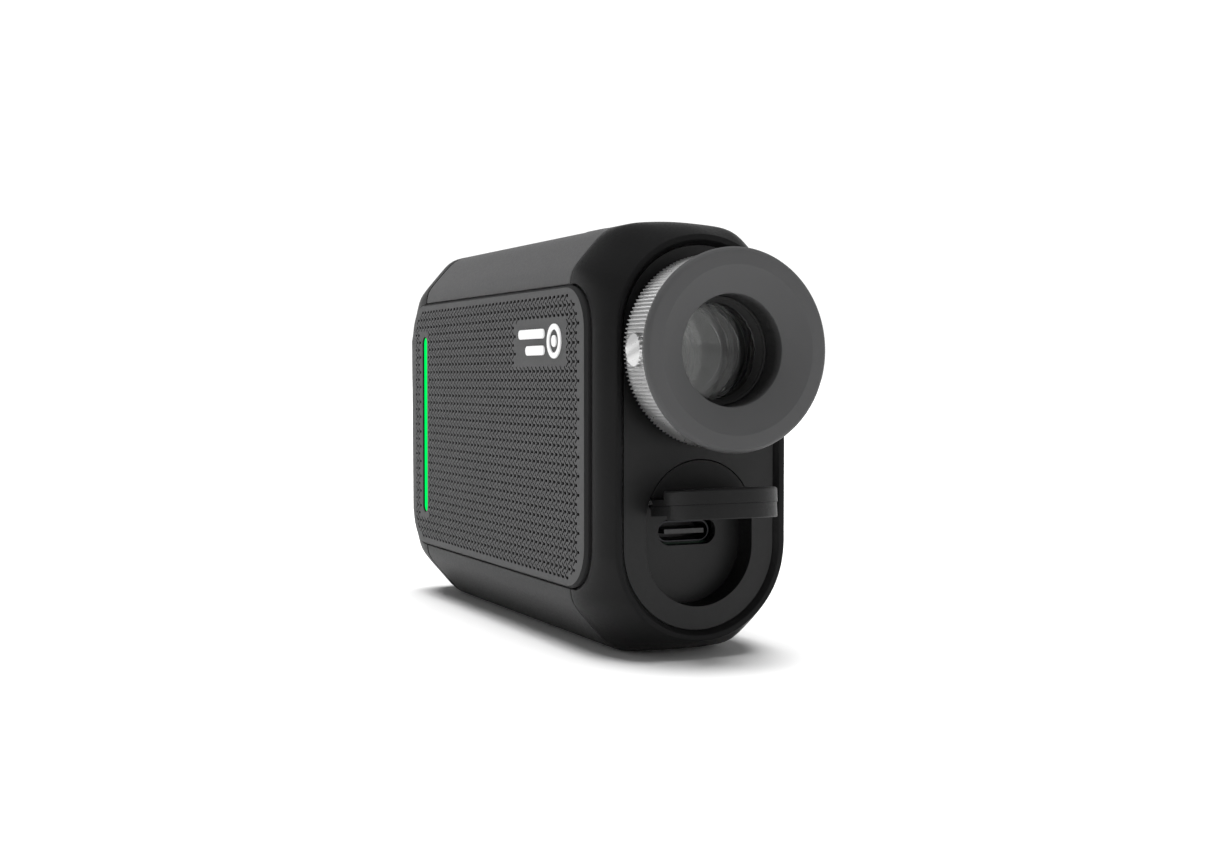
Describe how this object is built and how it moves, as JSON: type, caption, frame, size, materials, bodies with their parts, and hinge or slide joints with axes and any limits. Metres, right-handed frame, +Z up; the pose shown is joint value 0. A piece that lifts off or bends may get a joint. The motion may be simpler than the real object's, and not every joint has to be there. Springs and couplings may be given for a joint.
{
  "type": "laser rangefinder",
  "caption": "Slim upright golf laser rangefinder with a knurled diopter eyepiece, textured side panels, a green light bar and an open charging port cover.",
  "frame": {"origin": "middle of the bounding box at the level of the base that it stands on, with the port cover open", "axes": "+Y from the eyepiece towards the target, +Z up, +X to the user's right"},
  "size_m": [0.0329, 0.1073, 0.0659],
  "materials": {
    "shell": "fine matte texture",
    "face_plate": "fine matte texture",
    "cover": "satin soft-touch",
    "panel": "satin with a grooved grip texture",
    "light": "lit translucent",
    "circuit_board": "solder mask",
    "mark": "satin paint",
    "frame": "matte moulded",
    "gasket": "smooth",
    "barrel": "black anodised",
    "ring": "bead blasted and knurled",
    "eyecup": "smooth matte",
    "lens": "coated and polished",
    "laser_lens": "dark red filter glass",
    "screw": "zinc plated",
    "pin": "ground",
    "can": "nickel and gold plated",
    "connector": "nickel plated",
    "connector_tongue": "matte",
    "battery": "shrink film",
    "pad": "foam",
    "switch": "moulded",
    "button": "soft matte",
    "port_cover": "smooth matte"
  },
  "bodies": {
    "housing": {"rear_housing": "shell", "front_housing": "shell", "top_cover": "cover", "bottom_cover": "cover", "left_panel": "panel", "right_panel": "panel", "light_bar": "light", "led_board": "circuit_board", "badge": "mark", "rear_face_plate": "face_plate", "front_face_plate": "face_plate", "chassis": "frame", "rear_gasket": "gasket", "front_gasket": "gasket", "eyepiece_barrel": "barrel", "display_glass": "lens", "prism_holder": "frame", "prism_block": "lens", "prism_screws": "screw", "objective_barrel": "barrel", "objective_lens": "lens", "objective_retainer": "barrel", "optics_bulkhead": "frame", "laser_barrel": "barrel", "laser_lens": "laser_lens", "laser_retainer": "barrel", "laser_diode": "can", "receiver": "can", "main_board": "circuit_board", "board_screws": "screw", "usb_board": "circuit_board", "usb_shell": "connector", "usb_tongue": "connector_tongue", "battery_tray": "frame", "battery": "battery", "battery_pad": "pad", "button_board": "circuit_board", "button_switches": "switch", "port_anchor": "face_plate", "port_pin": "pin"},
    "diopter": {"diopter_ring": "ring", "eyecup": "eyecup"},
    "lens_cell": {"eye_lens_cell": "barrel", "eye_lens": "lens", "eye_lens_retainer": "barrel", "field_lens": "lens"},
    "fire_key": {"fire_button": "button"},
    "mode_key": {"mode_button": "button"},
    "port_flap": {"port_lid": "port_cover", "port_seal": "port_cover"}
  },
  "joints": [
    {"name": "port_flap_hinge", "type": "hinge", "parent": "housing", "child": "port_flap", "pos_m": [0, -0.03832, 0.02346], "axis": [1, 0, 0], "range_deg": [0, 95.4]},
    {"name": "diopter_turn", "type": "hinge", "parent": "housing", "child": "diopter", "pos_m": [0, -0.04552, 0.04556], "axis": [0, 1, 0], "range_deg": [-60, 60]},
    {"name": "lens_cell_slide", "type": "slide", "parent": "housing", "child": "lens_cell", "axis": [0, 1, 0], "range_m": [-0.0006, 0.0006]},
    {"name": "fire_button_press", "type": "slide", "parent": "housing", "child": "fire_key", "axis": [0, 0, -1], "range_m": [0, 0.0005], "stiffness_N_per_m": 800},
    {"name": "mode_button_press", "type": "slide", "parent": "housing", "child": "mode_key", "axis": [0, 0, -1], "range_m": [0, 0.0005], "stiffness_N_per_m": 800}
  ],
  "couplings": [
    {"joint": "lens_cell_slide", "follows": "diopter_turn", "m_per_rad": 0.00057}
  ]
}
